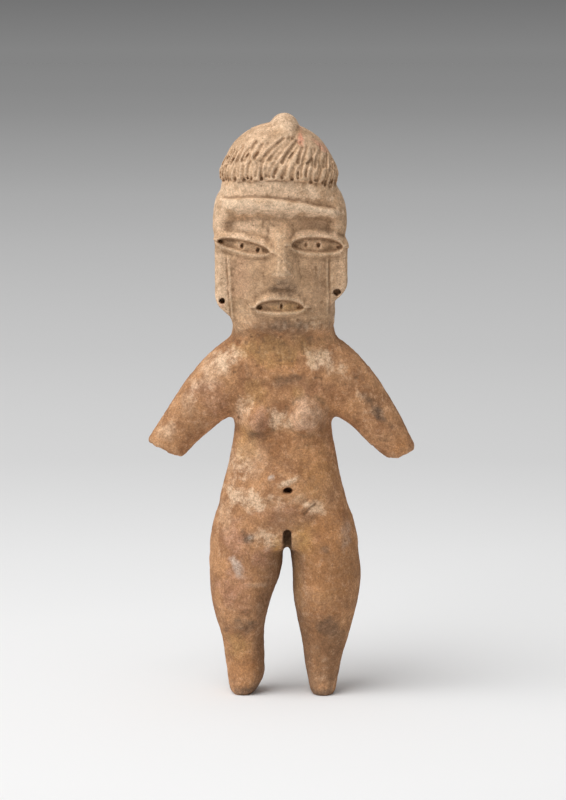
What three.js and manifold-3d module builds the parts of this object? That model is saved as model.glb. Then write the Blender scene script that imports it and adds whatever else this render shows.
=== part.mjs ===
// A standing female figurine of fired clay, modelled by hand in one solid piece: a broad flat face
// with rimmed slit eyes and mouth, a tooled roll of hair under a low crest, punched ear flaps, short
// sloping arms, small breasts, a punched navel, full thighs and short legs on blunt feet.
// Millimetres, +Z up. The figure faces -Y. The origin is on the ground, under the middle of its box.
import * as THREE from "three";
import { mergeVertices } from "three/addons/utils/BufferGeometryUtils.js";
import Module from "manifold-3d";

const { clamp, smoothstep, degToRad } = THREE.MathUtils;

// Driving dimensions: heights above the ground, and the fineness of the finished facets.
const HEIGHT = 150;
const CROTCH_Z = 38;
const SLOT_TOP_Z = 43.5;
const NAVEL_Z = 53.9;
const BREAST_Z = 72.6;
const CHIN_Z = 94.5;
const FACE_HEIGHT = 35;
const HAIR_Z = 134;
const MIDLINE_X = 1.7;
const GRID_STEP = 0.5;
const TRIANGLES = 8800;
const HEAD_WEIGHT = 4;
const CLAY = { color: 0xae8860, roughness: 0.9, metalness: 0 };

// The schematic face is laid out by shares of its height, from the chin to the top of the headband.
const FACE_X = -0.1;
const MOUTH_Z = CHIN_Z + 0.172 * FACE_HEIGHT;
const NOSE_Z = CHIN_Z + 0.42 * FACE_HEIGHT;
const EYE_Z = CHIN_Z + 0.62 * FACE_HEIGHT;
const BAND_Z = CHIN_Z + 0.98 * FACE_HEIGHT;

// Outlines as rows of [along, low edge, high edge, front, back]. The trunk, head, hair and legs run
// up Z with their edges in X. An arm runs out from its shoulder with its edges across it.
const TRUNK = {
  square: 2.4,
  rows: [
    [33, -18.4, 20.1, -8.6, 10.4],
    [38, -17.9, 19.8, -9.6, 11.2],
    [44, -16.9, 18.8, -9.9, 10.8],
    [50, -15.7, 17.1, -9.8, 9.2],
    [56, -14.4, 15.5, -9.2, 7.9],
    [62, -13.0, 14.4, -8.3, 7.3],
    [68, -12.0, 13.3, -8.1, 7.3],
    [75, -11.9, 13.1, -8.3, 7.8],
    [84, -12.6, 13.6, -8.0, 8.0],
    [89, -12.4, 13.5, -7.2, 7.8],
    [97, -11.8, 13.4, -6.7, 7.8],
  ],
};
const HEAD = {
  square: 3,
  rows: [
    [86, -11.7, 13.3, -7.0, 7.6],
    [93, -11.7, 13.4, -7.0, 8.1],
    [95.4, -12.0, 13.2, -9.5, 8.5],
    [98, -12.9, 13.1, -9.9, 8.9],
    [103, -13.5, 13.2, -10.2, 9.4],
    [111, -14.1, 13.6, -10.2, 10.0],
    [116, -15.5, 14.7, -9.8, 10.4],
    [121, -15.8, 15.0, -9.3, 10.5],
    [126, -15.9, 15.2, -9.7, 10.4],
    [131, -15.4, 14.6, -10.0, 10.0],
    [137, -13.6, 12.8, -9.2, 9.4],
  ],
};
const HAIR = {
  square: 2.5,
  rows: [
    [131, -15.2, 14.4, -11.2, 10.7],
    [135.4, -15.8, 14.8, -11.9, 11.0],
    [138, -14.6, 13.7, -11.2, 10.6],
    [141, -12.6, 11.7, -9.8, 9.7],
    [144, -10.0, 9.1, -7.6, 7.8],
    [147, -5.2, 4.4, -4.0, 4.2],
  ],
};
const LEFT_LEG = {
  square: 2.2,
  rows: [
    [-2, -12.6, -8.4, -6.8, 5.0],
    [1, -13.2, -6.2, -7.5, 5.5],
    [4, -13.7, -4.5, -7.7, 5.8],
    [8, -14.3, -4.1, -6.5, 5.6],
    [15, -15.4, -4.4, -7.2, 6.4],
    [20, -16.8, -3.8, -8.9, 7.4],
    [25, -17.9, -2.3, -9.9, 8.6],
    [31, -18.4, 0.0, -10.1, 10.4],
    [37, -18.3, 0.7, -10.2, 11.4],
    [48, -16.2, 1.4, -8.6, 9.6],
  ],
};
const RIGHT_LEG = {
  square: 2.2,
  rows: [
    [-2, 8.0, 13.6, -7.2, 5.2],
    [3, 7.2, 14.6, -8.2, 5.8],
    [8, 6.3, 15.5, -6.5, 5.6],
    [15, 5.4, 17.5, -7.0, 6.4],
    [20, 4.2, 18.9, -8.4, 7.4],
    [25, 3.3, 20.1, -10.0, 8.6],
    [31, 3.0, 20.7, -10.3, 10.4],
    [37, 2.5, 20.1, -10.2, 11.4],
    [48, 2.0, 17.8, -8.6, 9.6],
  ],
};
const LEFT_ARM = {
  shoulder: [-10, 86],
  stump: [-29.9, 63.5],
  square: 2.2,
  rows: [
    [-4, -11, 6.2, -7.0, 7.0],
    [0, -11, 7.3, -7.3, 7.3],
    [7, -8.6, 7.9, -7.3, 7.1],
    [13, -6.8, 7.6, -6.8, 6.3],
    [20.5, -5.3, 6.5, -5.6, 5.2],
    [26, -4.8, 5.7, -4.8, 4.6],
    [33, -4.8, 4.9, -4.2, 4.2],
  ],
  broken: { at: 30.1, slant: 0.3, round: 1.6 },
};
const RIGHT_ARM = {
  shoulder: [11, 86],
  stump: [31.5, 62.7],
  square: 2.2,
  rows: [
    [-4, -11, 6.2, -7.0, 7.0],
    [0, -11, 7.3, -7.3, 7.3],
    [5.3, -9.0, 8.0, -7.3, 7.1],
    [11.3, -7.0, 7.9, -6.9, 6.5],
    [17, -5.5, 7.0, -6.1, 5.6],
    [24, -5.0, 5.7, -5.1, 4.8],
    [34, -3.0, 2.8, -3.8, 3.8],
  ],
  broken: { at: 31.7, slant: 0.3, round: 1.4 },
};
const ARM_START = -4;
const THIGH_TOP_Z = 48;
const TRUNK_TOP_Z = 97;
const SOLE_DEPTH = 0.6;

// Slits with a raised rim, pits and other tool marks of the face.
const EYE_X = 9.4;
const EYES = {
  left: {
    tilt: degToRad(11.5),
    slit: { halfLength: 6.8, above: 1.8, below: 1.5, depth: 0.35 },
    pits: [[0.3, 0.1, 1], [-3.8, -0.1, 1]],
  },
  right: {
    tilt: degToRad(-3),
    slit: { halfLength: 6.6, above: 2.5, below: 1.8, depth: 0.7 },
    pits: [[0.3, 0.3, 1], [-2.9, 0.3, 0.45]],
  },
};
const MOUTH = { halfLength: 6.15, above: 2.4, below: 1.1, depth: 0.5 };
const UPPER_RIM = { width: 2.3, lift: 0.95 };
const LOWER_RIM = { width: 1.3, lift: 0.5 };
const PIT = { radius: 0.72, depth: 1.6 };
const NOSE = { height: 12.5, halfWidth: 4.7, bridgeHalfWidth: 3.2, tip: 4.7, bridge: 1.7 };
const EARS = [
  { edge: -16.7, inner: -13.9, slope: 0.075, top: 118, foot: 98.9, hole: [-15, 102.3], bore: 0.75 },
  { edge: 17.1, inner: 12.5, slope: 0, top: 118.5, foot: 101, hole: [14.4, 104.4], bore: 0.95 },
];
const EAR_FRONT_Y = -7.4;
const EAR_BACK_Y = -2.4;
const HOLE_DEPTH = 3.2;

// Tool marks of the hair: two staggered rows of leaning strokes.
const STROKES = {
  halfWidth: 0.7,
  reach: 25,
  rows: [
    { foot: 1.2, length: 4.6, pitch: 1.6, lean: 0.28, turn: 0.012, depth: 0.75 },
    { foot: 5.5, length: 4.3, pitch: 1.5, lean: 0.62, turn: -0.008, depth: 0.9 },
  ],
};
const HAIR_MIDDLE = [-0.6, -1];
const HAIR_TOP_Z = 146.4;
const CREST_X = 0.9;
const CREST_HALF_WIDTH = 3.6;
const NUDGE = 0.01;
const NEAR = 2;

// The union of two distances with a rounded join, and their intersection with a rounded edge.
function join(a, b, width) {
  const overlap = Math.max(width - Math.abs(a - b), 0) / width;
  return Math.min(a, b) - (overlap * overlap * width) / 4;
}

function meet(a, b, width) {
  return -join(-a, -b, width);
}

// 1 at the middle of a mark, falling smoothly to 0 at its edge.
function mark(offset, halfWidth) {
  return clamp(1 - (offset / halfWidth) ** 2, 0, 1);
}

function ellipsoid([x, y, z], centre, radii) {
  const offset = [x - centre[0], y - centre[1], z - centre[2]];
  const share = [offset[0] / radii[0], offset[1] / radii[1], offset[2] / radii[2]];
  const reach = Math.hypot(...share);
  const slope = Math.hypot(share[0] / radii[0], share[1] / radii[1], share[2] / radii[2]);
  return slope > 0 ? (reach * (reach - 1)) / slope : -Math.min(...radii);
}

// A round bar between two points.
function bar(point, start, end, radius) {
  const reach = subtract(end, start);
  const offset = subtract(point, start);
  const share = clamp(dot(offset, reach) / dot(reach, reach), 0, 1);
  const away = subtract(offset, [share * reach[0], share * reach[1], share * reach[2]]);
  return Math.hypot(...away) - radius;
}

// A limb or trunk drawn out along a line, with a section between an ellipse and a rectangle.
function drawn({ rows, square }) {
  const alongs = rows.map((row) => row[0]);
  const edges = rows.flatMap((row) => row.slice(1));
  const outline = new THREE.CubicInterpolant(alongs, edges, 4);
  return (along, across, depth) => {
    const [low, high, front, back] = outline.evaluate(clamp(along, alongs[0], alongs.at(-1)));
    const halfWidth = (high - low) / 2;
    const halfDepth = (back - front) / 2;
    const u = (Math.abs(across - low - halfWidth) + 1e-6) / halfWidth;
    const v = (Math.abs(depth - front - halfDepth) + 1e-6) / halfDepth;
    const reach = (u ** square + v ** square) ** (1 / square);
    const slope = Math.hypot(u ** (square - 1) / halfWidth, v ** (square - 1) / halfDepth);
    return ((reach - 1) * reach ** (square - 1)) / slope;
  };
}

// An arm's distance, from its shoulder down to the slanting break at its end.
function armForm({ shoulder, stump, broken, ...outline }) {
  const section = drawn(outline);
  const axis = new THREE.Vector2(stump[0] - shoulder[0], stump[1] - shoulder[1]).normalize();
  const upper = new THREE.Vector2(-axis.y, axis.x).multiplyScalar(Math.sign(axis.x));
  return ([x, y, z]) => {
    const along = (x - shoulder[0]) * axis.x + (z - shoulder[1]) * axis.y;
    const across = (x - shoulder[0]) * upper.x + (z - shoulder[1]) * upper.y;
    const pastBreak = along - broken.at - broken.slant * across;
    return meet(meet(section(along, across, y), pastBreak, broken.round), ARM_START - along, 4);
  };
}

const trunkForm = drawn(TRUNK);
const headForm = drawn(HEAD);
const hairForm = drawn(HAIR);
const leftLegForm = drawn(LEFT_LEG);
const rightLegForm = drawn(RIGHT_LEG);
const armForms = [armForm(LEFT_ARM), armForm(RIGHT_ARM)];

// A leg reaches a little below the ground with a rounded foot, so that the ground cuts a small sole.
function legEnds(form, z) {
  return meet(meet(form, z - THIGH_TOP_Z, 4), -SOLE_DEPTH - z, 2.4);
}

function leftLeg(point) {
  const [x, y, z] = point;
  const leg = legEnds(leftLegForm(z, x, y), z);
  return join(leg, ellipsoid(point, [-9.7, -5.4, 22.5], [5.6, 4.6, 6.5]), 2.5);
}

function rightLeg(point) {
  const [x, y, z] = point;
  const leg = legEnds(rightLegForm(z, x, y), z);
  return join(leg, ellipsoid(point, [11.2, -5.8, 24.5], [6.2, 4.8, 6.4]), 2.5);
}

// Two soft mounds: a small one drawn to a low point, and a broad round one with a nipple.
function breastRelief(x, z) {
  const up = z - BREAST_Z + 1.4;
  const left = smoothstep(1 - Math.hypot((x + 6.3) / 4.6, up / (up > 0 ? 7.2 : 5)), 0, 1.05);
  const right = smoothstep(1 - Math.hypot((x - 6.8) / 5.4, (z - BREAST_Z - 0.1) / 5.4), 0, 0.75);
  const nipple = mark(Math.hypot(x - 8.6, z - BREAST_Z + 1.9), 1.1);
  return 3.8 * left + 3.1 * right + 0.4 * nipple;
}

function trunk(point) {
  const [x, y, z] = point;
  let form = meet(meet(trunkForm(z, x, y), CROTCH_Z - z, 3), z - TRUNK_TOP_Z, 3);
  for (const arm of armForms) form = join(form, arm(point), 3.2);
  form = join(form, ellipsoid(point, [1, -4.5, 52.5], [10.5, 6.3, 9]), 3);
  form -= breastRelief(x, z) * smoothstep(-y, 1, 5);
  form = join(form, ellipsoid(point, [-7.6, 6.2, 39.5], [8.2, 6.4, 8.4]), 2.5);
  return join(form, ellipsoid(point, [10, 6.2, 39.5], [8.2, 6.4, 8.4]), 2.5);
}

// The slot between the thighs in front, the cleft behind and the punched navel.
function bodyCuts([x, y, z]) {
  const slot = Math.hypot(x - MIDLINE_X, Math.max(z - SLOT_TOP_Z + 1, 0)) - 1;
  const cleft = Math.hypot((x - 1.2) / 0.9, (y - 12.6) / 2.8) - 1;
  const navel = Math.hypot((x - MIDLINE_X) / 1.25, (z - NAVEL_Z) / 0.8) - 1;
  return Math.min(meet(slot, y + 2, 1), meet(cleft, Math.abs(z - 39) - 8, 3), meet(navel, y + 6.5, 0.6));
}

function body(point) {
  const legs = Math.min(leftLeg(point), rightLeg(point));
  return meet(join(trunk(point), legs, 1.6), -bodyCuts(point), 0.7);
}

function hemHeight(x) {
  return HAIR_Z - 1 - 0.006 * x * x - 0.03 * x;
}

// How deep the strokes cut into the roll of hair. Those in the middle reach up to the crest.
function strokeDepth([x, y, z]) {
  const [aside, ahead] = [x - HAIR_MIDDLE[0], HAIR_MIDDLE[1] - y];
  const around = Math.atan2(aside, ahead) * Math.hypot(aside, ahead);
  const centre = Math.exp(-(((around - 0.5) / 4.2) ** 2));
  let cut = 0;
  STROKES.rows.forEach((row, at) => {
    const foot = hemHeight(x) + row.foot;
    const lean = row.lean + row.turn * around;
    const offset = around - lean * (z - foot);
    const away = offset - Math.round(offset / row.pitch) * row.pitch;
    const length = row.length + 1.2 * at * centre;
    const along = clamp(1 - Math.abs((2 * (z - foot)) / length - 1) ** 4, 0, 1);
    cut = Math.max(cut, row.depth * along * mark(away, STROKES.halfWidth));
  });
  return cut * (1 - smoothstep(Math.abs(around), STROKES.reach, STROKES.reach + 3));
}

function hairRoll([x, y, z]) {
  return meet(meet(hairForm(z, x, y), z - HAIR_TOP_Z, 1), hemHeight(x) - z, 1.4);
}

// The top of the head, under a crest that runs over it as a broad band.
function crown(point) {
  const [x, y, z] = point;
  const skull = ellipsoid(point, [-0.6, -0.2, HAIR_Z], [14.4, 10.4, 13.6]);
  const off = x - CREST_X - 0.04 * (z - 145);
  const over = ellipsoid([0, y, z], [0, -0.4, HEIGHT - 12.5], [1, 9.9, 12.5]);
  const crest = Math.hypot(off, Math.max(over + CREST_HALF_WIDTH, 0)) - CREST_HALF_WIDTH;
  return meet(join(skull, crest, 0.6), -bar(point, [4.8, -4.4, 147.4], [4.7, -9.4, 141.8], 0.5), 0.5);
}

// The hair hangs down the back of the neck in one thick sheet.
function napeHair([x, y, z]) {
  const outline = meet(Math.abs(x - 0.9) - 13.1, Math.abs(z - 109) - 20, 9);
  const middleY = 7.2 + 0.05 * (z - 90);
  return meet(outline, Math.abs(y - middleY) - 3.2, 4);
}

function sideLobes(point) {
  const [x, , z] = point;
  const left = ellipsoid(point, [-14.6, -1.2, 122.6], [2.8, 6.2, 8]);
  const right = ellipsoid(point, [13.9, -1.2, 123.2], [3.1, 6.4, 7.4]);
  return Math.min(meet(left, z - 130.2 - 0.5 * (x + 15), 1.2), right);
}

// A flap that hangs beside the face from the lobe above, cut slanting below, with a punched hole.
function earFlap([x, y, z], { edge, inner, top, foot, hole, bore }) {
  const side = Math.sign(edge);
  const overlap = 2.5;
  const [innerX, outerX] = [Math.abs(inner) - overlap, Math.abs(edge)];
  const width = Math.abs(x * side - (outerX + innerX) / 2) - (outerX - innerX) / 2;
  const below = (foot + 0.9 * (x * side - Math.abs(inner)) - z) * 0.74;
  const outline = meet(width, Math.max(z - top, below), 1.8);
  const middleY = (EAR_FRONT_Y + EAR_BACK_Y) / 2;
  const flap = meet(outline, Math.abs(y - middleY) - (EAR_BACK_Y - EAR_FRONT_Y) / 2, 1.4);
  const away = Math.hypot(x - hole[0], z - hole[1]) - bore;
  return meet(flap, -meet(away, y - EAR_FRONT_Y - HOLE_DEPTH, 0.6), 0.3);
}

// A lens-shaped slit as a height: a soft rim round an opening with a sloping floor.
function slit(along, up, { halfLength, above, below, depth }) {
  const bow = Math.sqrt(1 - clamp(Math.abs(along) / halfLength, 0, 1) ** 2.2);
  const beyond = Math.abs(up) - (up > 0 ? above : below) * bow;
  const past = Math.max(Math.abs(along) - halfLength, 0);
  const { width, lift } = up > 0 ? UPPER_RIM : LOWER_RIM;
  if (beyond < 0 && past === 0) return lift - (lift + depth) * smoothstep(-beyond, -0.1, 0.6);
  return lift * (1 - smoothstep(Math.hypot(Math.max(beyond, 0), past), 0, width));
}

function pit(along, up) {
  return -PIT.depth * mark(Math.hypot(along / 0.85, up / 1.3), PIT.radius) ** 2;
}

function eyeRelief(x, z, side) {
  const eye = side < 0 ? EYES.left : EYES.right;
  const out = (x - FACE_X) * side - EYE_X;
  const along = out * Math.cos(eye.tilt) + (z - EYE_Z) * Math.sin(eye.tilt);
  const up = (z - EYE_Z) * Math.cos(eye.tilt) - out * Math.sin(eye.tilt);
  let relief = slit(along, up, eye.slit);
  for (const [place, height, strength] of eye.pits) relief += strength * pit(along - place, up - height);
  return relief;
}

function mouthRelief(x, z) {
  return slit(x - FACE_X + 0.1, z - MOUTH_Z, MOUTH) + pit(x - FACE_X - 0.3, z - MOUTH_Z - 0.5);
}

// A wedge that widens and rises to its tip, with a sloping underside.
function noseRelief(x, z) {
  const climb = clamp((z - NOSE_Z) / NOSE.height, 0, 1);
  const halfWidth = NOSE.halfWidth + (NOSE.bridgeHalfWidth - NOSE.halfWidth) * climb;
  const ridge = NOSE.tip + (NOSE.bridge - NOSE.tip) * climb;
  const near = 1 - Math.abs(x - FACE_X - 0.5 + 0.4 * climb) / halfWidth;
  const across = 0.65 * smoothstep(near, 0, 1) + 0.35 * clamp(near, 0, 1);
  const underside = clamp((z - NOSE_Z + 3.9) / 4, 0, 1);
  return ridge * across * underside * (1 - smoothstep(z, EYE_Z + 3, EYE_Z + 7));
}

// The band across the brow: a crisp ledge above a soft roll, and a hollow brow below it.
function bandRelief(x, z) {
  const off = Math.abs(x - FACE_X);
  const below = BAND_Z - 0.6 - 0.0066 * x * x - 0.107 * x - z;
  const foot = 4.1 - 0.08 * x;
  const bulge = (1.4 + 0.9 * mark(below - 1.5, 2.2)) * (1 - smoothstep(below, foot - 2, foot + 0.3));
  const hollow = 0.55 * mark(below - 6, 3.4) * (0.8 + 0.05 * x) * (1 - smoothstep(off, 8, 14));
  return (smoothstep(below, -0.2, 0.35) * bulge - hollow) * (1 - smoothstep(off, 13.4, 15.6));
}

// The groove that parts each ear flap from the cheek.
function cheekGrooves(x, z) {
  const along = smoothstep(z, 97, 99.5) * (1 - smoothstep(z, 112.5, 114));
  const offs = EARS.map(({ edge, inner, slope }) => {
    return Math.abs(x * Math.sign(edge) - Math.abs(inner) + slope * (113 - z));
  });
  return -0.7 * along * mark(Math.min(...offs), 0.5);
}

function head(point) {
  const [x, y, z] = point;
  const core = meet(meet(headForm(z, x, y), z - 137, 2), 87 - z, 3);
  let form = join(core, sideLobes(point), 1.4);
  for (const ear of EARS) form = join(form, earFlap(point, ear), 1);
  form = join(form, crown(point), 1);
  const front = smoothstep(-y, 1.5, 6);
  const face = eyeRelief(x, z, -1) + eyeRelief(x, z, 1) + mouthRelief(x, z) + noseRelief(x, z);
  form -= (face + bandRelief(x, z) + cheekGrooves(x, z)) * front;
  form = join(form, napeHair(point), 2.5);
  return join(form, hairRoll(point), 0.4) + strokeDepth(point);
}

// The whole figure as a distance: below zero inside the clay.
function figure(point) {
  const z = point[2];
  if (z > 104) return head(point);
  if (z < 84) return body(point);
  return join(body(point), head(point), 1.4);
}

// A grid of distances over a box. Blocks that lie far from the surface get one value.
function sampled(distance, box, step) {
  const block = 4;
  const size = box.getSize(new THREE.Vector3()).toArray();
  const counts = size.map((length) => Math.ceil(length / step) + 1);
  const [nx, ny, nz] = counts;
  const values = new Float32Array(nx * ny * nz);
  const place = (i, j, k) => [box.min.x + i * step, box.min.y + j * step, box.min.z + k * step];
  for (let k0 = 0; k0 < nz; k0 += block) {
    for (let j0 = 0; j0 < ny; j0 += block) {
      for (let i0 = 0; i0 < nx; i0 += block) {
        const middle = distance(place(i0 + block / 2, j0 + block / 2, k0 + block / 2));
        const far = Math.abs(middle) > 2.6 * block * step;
        for (let k = k0; k < Math.min(k0 + block, nz); k++) {
          for (let j = j0; j < Math.min(j0 + block, ny); j++) {
            for (let i = i0; i < Math.min(i0 + block, nx); i++) {
              values[i + nx * (j + ny * k)] = far ? middle : distance(place(i, j, k));
            }
          }
        }
      }
    }
  }
  return { values, counts, place };
}

// Two stretches of surface may not touch along a grid edge or at a corner. Where the samples of a
// square stand crosswise, or two stand alone at opposite corners of a cube, the outer one that is
// nearest to the surface is taken inside.
function untangle(values, strides) {
  const [right, back, up] = strides;
  const corners = [0, right, back, right + back].flatMap((low) => [low, low + up]);
  const squares = [[0, 1, 3, 2], [0, 1, 5, 4], [0, 2, 6, 4]];
  const diagonals = [[0, 7], [1, 6], [2, 5], [3, 4]];

  function takeIn(samples) {
    const outside = samples.filter((sample) => values[sample] >= 0);
    const nearest = outside.reduce((a, b) => (values[a] < values[b] ? a : b));
    values[nearest] = -NUDGE;
  }

  function isTangled(here) {
    const cube = corners.map((offset) => here + offset);
    for (const square of squares) {
      const [a, b, c, d] = square.map((corner) => values[cube[corner]] < 0);
      if (a !== c || b !== d || a === b) continue;
      takeIn(square.map((corner) => cube[corner]));
      return true;
    }
    const insideCount = cube.filter((sample) => values[sample] < 0).length;
    for (const pair of diagonals) {
      const [a, b] = pair.map((corner) => values[cube[corner]] < 0);
      if (a !== b || insideCount !== (a ? 2 : 6)) continue;
      takeIn(a ? cube : pair.map((corner) => cube[corner]));
      return true;
    }
    return false;
  }

  const last = values.length - strides[0] - strides[1] - strides[2];
  let tangles = 1;
  while (tangles) {
    tangles = 0;
    for (let here = 0; here < last; here++) {
      if (Math.abs(values[here]) < NEAR && isTangled(here)) tangles++;
    }
  }
}

// The closed surface where the distance is zero: one point in each cell that the surface crosses,
// and one four-sided face round each grid edge that it crosses.
function surfaceOf(distance, box, step) {
  const { values, counts, place } = sampled(distance, box, step);
  const strides = [1, counts[0], counts[0] * counts[1]];
  untangle(values, strides);
  const pointOf = new Map();
  const positions = [];
  const triangles = [];

  function cellPoint(cell) {
    if (pointOf.has(cell)) return pointOf.get(cell);
    const sum = [0, 0, 0];
    let crossings = 0;
    for (let axis = 0; axis < 3; axis++) {
      const [across, up] = [(axis + 1) % 3, (axis + 2) % 3];
      for (const [a, b] of [[0, 0], [1, 0], [0, 1], [1, 1]]) {
        const start = values[cell + a * strides[across] + b * strides[up]];
        const end = values[cell + a * strides[across] + b * strides[up] + strides[axis]];
        if (start < 0 === end < 0) continue;
        sum[axis] += start / (start - end);
        sum[across] += a;
        sum[up] += b;
        crossings++;
      }
    }
    const i = cell % counts[0];
    const j = Math.floor(cell / strides[1]) % counts[1];
    const k = Math.floor(cell / strides[2]);
    const shares = sum.map((total) => total / crossings);
    positions.push(place(i + shares[0], j + shares[1], k + shares[2]));
    pointOf.set(cell, positions.length - 1);
    return positions.length - 1;
  }

  for (let here = strides[2]; here < values.length - strides[2]; here++) {
    for (let axis = 0; axis < 3; axis++) {
      const inside = values[here] < 0;
      if (inside === values[here + strides[axis]] < 0) continue;
      const [across, up] = [strides[(axis + 1) % 3], strides[(axis + 2) % 3]];
      const ring = [here, here - across, here - across - up, here - up].map(cellPoint);
      if (!inside) ring.reverse();
      triangles.push([ring[0], ring[1], ring[2]], [ring[0], ring[2], ring[3]]);
    }
  }
  return { positions, triangles };
}

function subtract(a, b) {
  return [a[0] - b[0], a[1] - b[1], a[2] - b[2]];
}

function cross(a, b) {
  return [a[1] * b[2] - a[2] * b[1], a[2] * b[0] - a[0] * b[2], a[0] * b[1] - a[1] * b[0]];
}

function dot(a, b) {
  return a[0] * b[0] + a[1] * b[1] + a[2] * b[2];
}

function faceNormal([a, b, c]) {
  return cross(subtract(b, a), subtract(c, a));
}

// A queue that gives back the entry with the lowest cost first.
class CostQueue {
  heap = [];

  push(entry) {
    const { heap } = this;
    let at = heap.push(entry) - 1;
    while (at > 0) {
      const parent = (at - 1) >> 1;
      if (heap[parent].cost <= heap[at].cost) return;
      [heap[parent], heap[at]] = [heap[at], heap[parent]];
      at = parent;
    }
  }

  pop() {
    const { heap } = this;
    const top = heap[0];
    const last = heap.pop();
    if (!heap.length) return top;
    heap[0] = last;
    let at = 0;
    let child = 1;
    while (child < heap.length) {
      if (child + 1 < heap.length && heap[child + 1].cost < heap[child].cost) child++;
      if (heap[at].cost <= heap[child].cost) break;
      [heap[child], heap[at]] = [heap[at], heap[child]];
      at = child;
      child = 2 * at + 1;
    }
    return top;
  }
}

// The cost of a point is its squared distance to the planes it stands for, kept as ten sums: the
// upper half of a symmetric four by four matrix.
function addPlane(sums, normal, point, weight) {
  const plane = [...normal, -dot(normal, point)];
  let at = 0;
  for (let row = 0; row < 4; row++) {
    for (let column = row; column < 4; column++) sums[at++] += weight * plane[row] * plane[column];
  }
}

function costAt([xx, xy, xz, xw, yy, yz, yw, zz, zw, ww], [x, y, z]) {
  const squares = xx * x * x + yy * y * y + zz * z * z + ww;
  return squares + 2 * (xy * x * y + xz * x * z + yz * y * z + xw * x + yw * y + zw * z);
}

function cheapestPoint([xx, xy, xz, xw, yy, yz, yw, zz, zw]) {
  const columns = [[xx, xy, xz], [xy, yy, yz], [xz, yz, zz]];
  const target = [-xw, -yw, -zw];
  const volume = dot(columns[0], cross(columns[1], columns[2]));
  return [0, 1, 2].map((axis) => {
    const [a, b, c] = columns.map((column, at) => (at === axis ? target : column));
    return dot(a, cross(b, c)) / volume;
  });
}

// Fewer facets: the edge whose loss moves the surface least goes first, until the count is reached.
// A small pull towards the first places keeps flat stretches evenly divided.
function simplified({ positions, triangles }, wanted, weightAt) {
  const axes = [[1, 0, 0], [0, 1, 0], [0, 0, 1]];
  const stayWeight = 0.003;
  const sums = positions.map(() => new Array(10).fill(0));
  const facesOf = positions.map(() => new Set());
  const version = positions.map(() => 0);
  const queue = new CostQueue();

  const cornersOf = (face) => triangles[face].map((vertex) => positions[vertex]);

  function neighboursOf(vertex) {
    const found = new Set([...facesOf[vertex]].flatMap((face) => triangles[face]));
    found.delete(vertex);
    return found;
  }

  function enqueue(a, b) {
    const both = sums[a].map((value, at) => value + sums[b][at]);
    const point = cheapestPoint(both);
    queue.push({ cost: costAt(both, point), a, b, both, point, stamp: version[a] + version[b] });
  }

  // No facet round a moved corner may turn over or thin out to a sliver.
  function keepsFacets(end, other, point) {
    for (const face of facesOf[end]) {
      if (triangles[face].includes(other)) continue;
      const moved = triangles[face].map((vertex) => (vertex === end ? point : positions[vertex]));
      const before = faceNormal(cornersOf(face));
      const after = faceNormal(moved);
      const size = Math.hypot(...after);
      if (dot(before, after) < 0.35 * Math.hypot(...before) * size) return false;
      const sides = moved.map((corner, at) => Math.hypot(...subtract(corner, moved[(at + 1) % 3])));
      if (size < 0.08 * Math.max(...sides) ** 2) return false;
    }
    return true;
  }

  // An edge can go where its ends share just two neighbours, so that the surface stays closed.
  function canGo({ a, b, point }) {
    const near = neighboursOf(a);
    const shared = [...neighboursOf(b)].filter((vertex) => near.has(vertex));
    return shared.length === 2 && keepsFacets(a, b, point) && keepsFacets(b, a, point);
  }

  triangles.forEach((corners, face) => {
    const normal = faceNormal(cornersOf(face));
    const area = Math.hypot(...normal);
    if (area === 0) return;
    const unit = normal.map((value) => value / area);
    for (const vertex of corners) {
      const point = positions[vertex];
      const weight = area * weightAt(point);
      addPlane(sums[vertex], unit, point, weight);
      for (const axis of axes) addPlane(sums[vertex], axis, point, weight * stayWeight);
    }
  });
  triangles.forEach((corners, face) => corners.forEach((vertex) => facesOf[vertex].add(face)));
  for (const corners of triangles) {
    corners.forEach((a, at) => {
      const b = corners[(at + 1) % 3];
      if (a < b) enqueue(a, b);
    });
  }

  let left = triangles.length;
  while (left > wanted && queue.heap.length) {
    const edge = queue.pop();
    const { a, b, both, point, stamp } = edge;
    const current = facesOf[a].size && facesOf[b].size && stamp === version[a] + version[b];
    if (!current || !canGo(edge)) continue;
    positions[a] = point;
    sums[a] = both;
    version[a] += version[b] + 1;
    for (const face of [...facesOf[b]]) {
      if (triangles[face].includes(a)) {
        for (const vertex of triangles[face]) facesOf[vertex].delete(face);
        triangles[face] = null;
        left--;
      } else {
        triangles[face] = triangles[face].map((vertex) => (vertex === b ? a : vertex));
        facesOf[a].add(face);
      }
    }
    facesOf[b].clear();
    for (const vertex of neighboursOf(a)) enqueue(a, vertex);
  }
  return { positions, triangles: triangles.filter(Boolean) };
}

const wasm = await Module();
wasm.setup();

function solidOf(positions, corners) {
  const vertProperties = new Float32Array(positions);
  const triVerts = new Uint32Array(corners);
  return new wasm.Manifold(new wasm.Mesh({ numProp: 3, vertProperties, triVerts }));
}

// The ground takes off what lies below it and leaves each foot a flat sole.
function cutAtGround({ positions, triangles }) {
  const ground = new THREE.BoxGeometry(HEIGHT, HEIGHT, 20).translate(0, 0, -10);
  ground.deleteAttribute("normal");
  ground.deleteAttribute("uv");
  const block = mergeVertices(ground);
  const used = new Map();
  const kept = [];
  const corners = triangles.flat().map((vertex) => {
    if (!used.has(vertex)) {
      used.set(vertex, kept.length / 3);
      kept.push(...positions[vertex]);
    }
    return used.get(vertex);
  });
  const figureSolid = solidOf(kept, corners);
  const mesh = figureSolid.subtract(solidOf(block.attributes.position.array, block.index.array)).getMesh();
  const geometry = new THREE.BufferGeometry();
  geometry.setAttribute("position", new THREE.BufferAttribute(mesh.vertProperties, 3));
  geometry.setIndex(new THREE.BufferAttribute(mesh.triVerts, 1));
  return geometry;
}

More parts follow.
